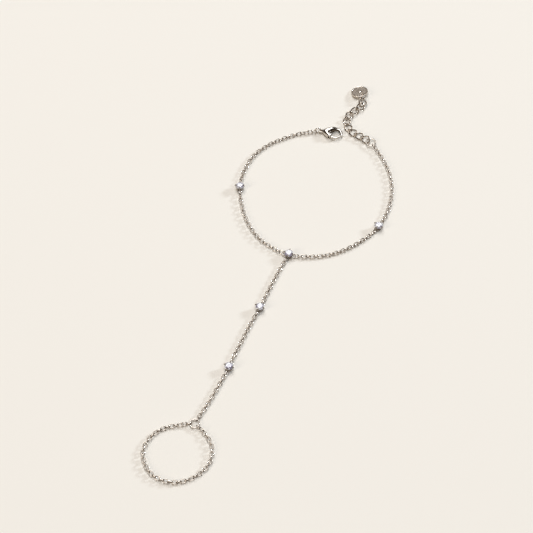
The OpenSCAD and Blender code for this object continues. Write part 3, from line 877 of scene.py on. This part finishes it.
hinge = Vector(frame["record"]["behaviour"]["joints"][0]["pos_m"])
hook = Vector(next(m["pos_m"] for m in frame["record"]["mounts"] if m["name"] == "clasp_hook"))
clasp_yaw = atan2(hook.y - hinge.y, hook.x - hinge.x) - radians(HINGE_ANGLE + 180)
clasp_turn = Matrix.Rotation(clasp_yaw, 4, "Z")
CLASP_PLACE = Matrix.Translation(hook - clasp_turn @ Vector((HOOK_X, 0, 0)) * MM) @ clasp_turn
CLASP_PLACE = CLASP_PLACE @ Matrix.Scale(MM, 4)
print("the clasp lies at", round(degrees(clasp_yaw), 1), "degrees")


def tip_arc(angle, radius):
    """Distance from the hole's middle to an arc about the hinge, at an angle in degrees."""
    along = HINGE_RADIUS * cos(radians(angle - HINGE_ANGLE - 180))
    return -along + sqrt(along**2 + radius**2 - HINGE_RADIUS**2)


def from_hole(angle, reach):
    """The point at an angle in degrees and a distance from the hole's middle."""
    return Vector((cos(radians(angle)), sin(radians(angle)), 0)) * reach + Vector((HOOK_X, 0, 0))


# %% Build the clasp's body
# Round the hole from the hook's tip to the hinge: angle, outer radius, thickness, squareness
BODY_ROWS = [
    (-18, 2.36, 0.8, 2.4), (-8, 2.4, 1.0, 2.4), (20, 2.42, 1.1, 2.4), (80, 2.5, 1.25, 2.4),
    (105, 2.6, 1.6, 2.6), (120, 2.78, 1.85, 2.8), (135, 3.02, 1.96, 2.8), (150, 3.4, 1.98, 2.6),
    (163, 3.9, 1.98, 2.4), (173, 4.35, 1.96, 2.2), (180, 4.5, 1.94, 2.1), (187, 4.35, 1.96, 2.1),
    (197, 3.85, 1.98, 2.1), (210, 3.25, 1.98, 2.4), (222, 2.9, 1.96, 3.6), (232, 2.7, 1.9, 4),
]
BODY_STEP = 5
SLOT_SIZE, SLOT_MIDDLE = (4, 3, 1.05), (5, -1.95, 0)
# The neck from the eyelet into the body: distance from the eyelet's middle, and radius
NECK = [(0.6, 0.5), (1.1, 0.74), (1.7, 0.9), (2.4, 0.95)]
NECK_SIDES = 20
EYELET_REACH, EYELET_WIRE = 0.62, 0.23
# The pin, and its heads, which are peened over the cheeks: radius and height
PIN = [(0, -0.98), (0.25, -0.98), (0.25, 0.98), (0, 0.98)]
PIN_HEAD = [(0, 0.9), (0.38, 0.9), (0.36, 1.0), (0.24, 1.08), (0, 1.12)]
PIN_STEPS = 24
BODY_VOXEL = 0.05
BODY_ROUNDS = 4
# The faces of the hole's wall are this near to it, and look at its middle at least this much
WALL_DEPTH, WALL_FACING = 0.3, 0.45


def clasp_body():
    """The cast body: eyelet, neck, domed middle with its slot and pin, and hook."""
    bm = bmesh.new()
    angles, *measures = zip(*BODY_ROWS)
    rows = []
    for angle in range(angles[0], angles[-1] + 1, BODY_STEP):
        inner = tip_arc(angle, TIP_ARC_RADIUS) if angle < HINGE_ANGLE + 180 else HOLE_RADIUS
        rows.append((angle, inner, *(np.interp(angle, angles, row) for row in measures)))
    round_arm(bm, (HOOK_X, 0), rows)
    slot = bmesh.new()
    bmesh.ops.create_cube(slot, size=1)
    bmesh.ops.scale(slot, vec=SLOT_SIZE, verts=slot.verts)
    bmesh.ops.translate(slot, vec=SLOT_MIDDLE, verts=slot.verts)
    bm = cut(bm, slot)
    tube(bm, [(x, 0, 0) for x, radius in NECK], [radius for x, radius in NECK], sides=NECK_SIDES)
    turned(bm, wire_outline(EYELET_REACH, EYELET_WIRE))
    for outline in (PIN, PIN_HEAD):
        turned(bm, outline, steps=PIN_STEPS, centre=from_hole(HINGE_ANGLE, HINGE_RADIUS))
    bm = fused(bm, BODY_VOXEL, BODY_ROUNDS)
    # The faces of the hole's wall take the dark metal, which is painted shade
    for face in bm.faces:
        outward = face.calc_center_median() - Vector((HOOK_X, 0, 0))
        outward.z = 0
        inward = -face.normal.dot(outward.normalized())
        if outward.length < HOLE_RADIUS + WALL_DEPTH and inward > WALL_FACING:
            face.material_index = 1
    bmesh.ops.transform(bm, matrix=CLASP_PLACE, verts=bm.verts)
    finish_piece(bm, "clasp_body_cast", [CLASP_METAL, PAINTED_SHADE_HOLE_METAL], "clasp_body")


clasp_body()

# %% [markdown]
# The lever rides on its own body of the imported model, so it turns about the hinge. It is a
# thin arm that follows the hole's wall, a root round the pin, and a knob for the fingernail.

# %% Build the clasp's lever
LEVER_WIDTH = 0.6
LEVER_THICKNESS = 0.85
LEVER_SQUARENESS = 2.6
LEVER_START, LEVER_END, LEVER_STEP = -128, -8, 5
ROOT_BORE, ROOT_RADIUS = 0.3, 0.58
KNOB_ANGLE, KNOB_RADIUS = -112, 0.4
LEVER_VOXEL = 0.04
LEVER_ROUNDS = 2


def clasp_lever():
    """The lever: its arm, the root with the pin's bore, and the knob."""
    bm = bmesh.new()
    rows = []
    for angle in range(LEVER_START, LEVER_END + 1, LEVER_STEP):
        outer = min(HOLE_RADIUS + LEVER_WIDTH, tip_arc(angle, TIP_ARC_RADIUS - TIP_GAP))
        rows.append((angle, HOLE_RADIUS, outer, LEVER_THICKNESS, LEVER_SQUARENESS))
    round_arm(bm, (HOOK_X, 0), rows)
    half = LEVER_THICKNESS / 2
    root = [
        (ROOT_BORE, -half), (ROOT_RADIUS, -half), (ROOT_RADIUS, half), (ROOT_BORE, half), (ROOT_BORE, -half),
    ]
    turned(bm, root, centre=from_hole(HINGE_ANGLE, HINGE_RADIUS))
    knob = Matrix.Translation(from_hole(KNOB_ANGLE, HOLE_RADIUS + LEVER_WIDTH))
    knob = knob @ Matrix.Diagonal((KNOB_RADIUS, KNOB_RADIUS, half, 1))
    bmesh.ops.create_icosphere(bm, subdivisions=3, radius=1, matrix=knob)
    bm = fused(bm, LEVER_VOXEL, LEVER_ROUNDS)
    bmesh.ops.transform(bm, matrix=CLASP_PLACE, verts=bm.verts)
    finish_piece(bm, "clasp_lever_arm", [CLASP_METAL], "clasp_lever", body="lever")


clasp_lever()

# %% [markdown]
# ## The tag
#
# The tag is a struck disc: the die leaves a raised rim, a boss and plain rays, and a sunk
# ground, whose dark tone is painted shade. It is turned from an outline, and the rays are faces
# of its ground that are inset and lifted, so that their sides slope as struck metal's do.

# %% Strike the tag
TAG_RADIUS = 2.9
TAG_TOP = 0.4
RELIEF = 0.1
RAYS = 20
TAG_HOLE_RADIUS = 0.7
TAG_HOLE_X = 1.9
TAG_YAW = radians(123)
RAY_START, RAY_END = 0.9, 2.3
RAY_SLOPE, RAY_LIFT = 0.025, 0.08
GROUND_START, GROUND_END = 0.6, 2.6
# From the boss over the ground and the rim to the back: radius and height
TAG_OUTLINE = [
    (0, TAG_TOP + RELIEF), (0.36, TAG_TOP + RELIEF), (0.54, TAG_TOP + 0.07), (0.6, TAG_TOP),
    (RAY_START, TAG_TOP), (RAY_END, TAG_TOP), (2.58, TAG_TOP), (2.64, TAG_TOP + 0.08),
    (2.72, TAG_TOP + RELIEF), (2.82, TAG_TOP + RELIEF), (2.88, TAG_TOP + 0.05),
    (TAG_RADIUS, TAG_TOP - 0.03), (TAG_RADIUS, 0.08), (2.82, 0), (0, 0),
]
TAG_WELD = 0.0005
# Edges sharper than this catch the light as edges
CREASE = radians(40)


def tag():
    """The struck disc with its hole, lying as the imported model's does."""
    bm = bmesh.new()
    turned(bm, TAG_OUTLINE, steps=4 * RAYS)
    bmesh.ops.remove_doubles(bm, verts=bm.verts, dist=TAG_WELD)
    bmesh.ops.recalc_face_normals(bm, faces=bm.faces)
    rays = []
    for face in bm.faces:
        middle = face.calc_center_median()
        reach = hypot(middle.x, middle.y)
        # Faces of the sunk ground take the dark metal, which is painted shade
        if middle.z > TAG_TOP - 0.01 and GROUND_START < reach < GROUND_END:
            face.material_index = 1
            # Of the four faces that a ray and its gap share, the middle two are the ray
            quarter = int(degrees(atan2(middle.y, middle.x)) % 360 / (90 / RAYS)) % 4
            if RAY_START < reach < RAY_END and quarter in (1, 2):
                rays.append(face)
    bmesh.ops.inset_region(bm, faces=rays, thickness=RAY_SLOPE, depth=RAY_LIFT, use_even_offset=True)
    for face in rays:
        face.material_index = 0
    drill = bmesh.new()
    bmesh.ops.create_cone(
        drill, segments=40, radius1=TAG_HOLE_RADIUS, radius2=TAG_HOLE_RADIUS, depth=2, cap_ends=True,
        matrix=Matrix.Translation((-TAG_HOLE_X, 0, 0)),
    )
    bm = cut(bm, drill)
    smooth(bm)
    for edge in bm.edges:
        edge.smooth = len(edge.link_faces) == 2 and edge.calc_face_angle(0) < CREASE
    flat = link_places("tag_disc")[0].to_3x3()
    up = flat.col[2] if flat.col[2].z > 0 else -flat.col[2]
    along = Vector((cos(TAG_YAW), sin(TAG_YAW), 0))
    along = (along - up * along.dot(up)).normalized()
    place = Matrix((along, up.cross(along), up)).transposed().to_4x4()
    low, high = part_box("tag_disc")
    place.translation = (Vector(low) + Vector(high)) / 2
    place = place @ Matrix.Scale(MM, 4) @ Matrix.Translation((0, 0, -(TAG_TOP + RELIEF) / 2))
    bmesh.ops.transform(bm, matrix=place, verts=bm.verts)
    finish_piece(bm, "tag_disc_struck", [TAG_METAL, PAINTED_SHADE_TAG_GROUND], "tag_disc")


tag()
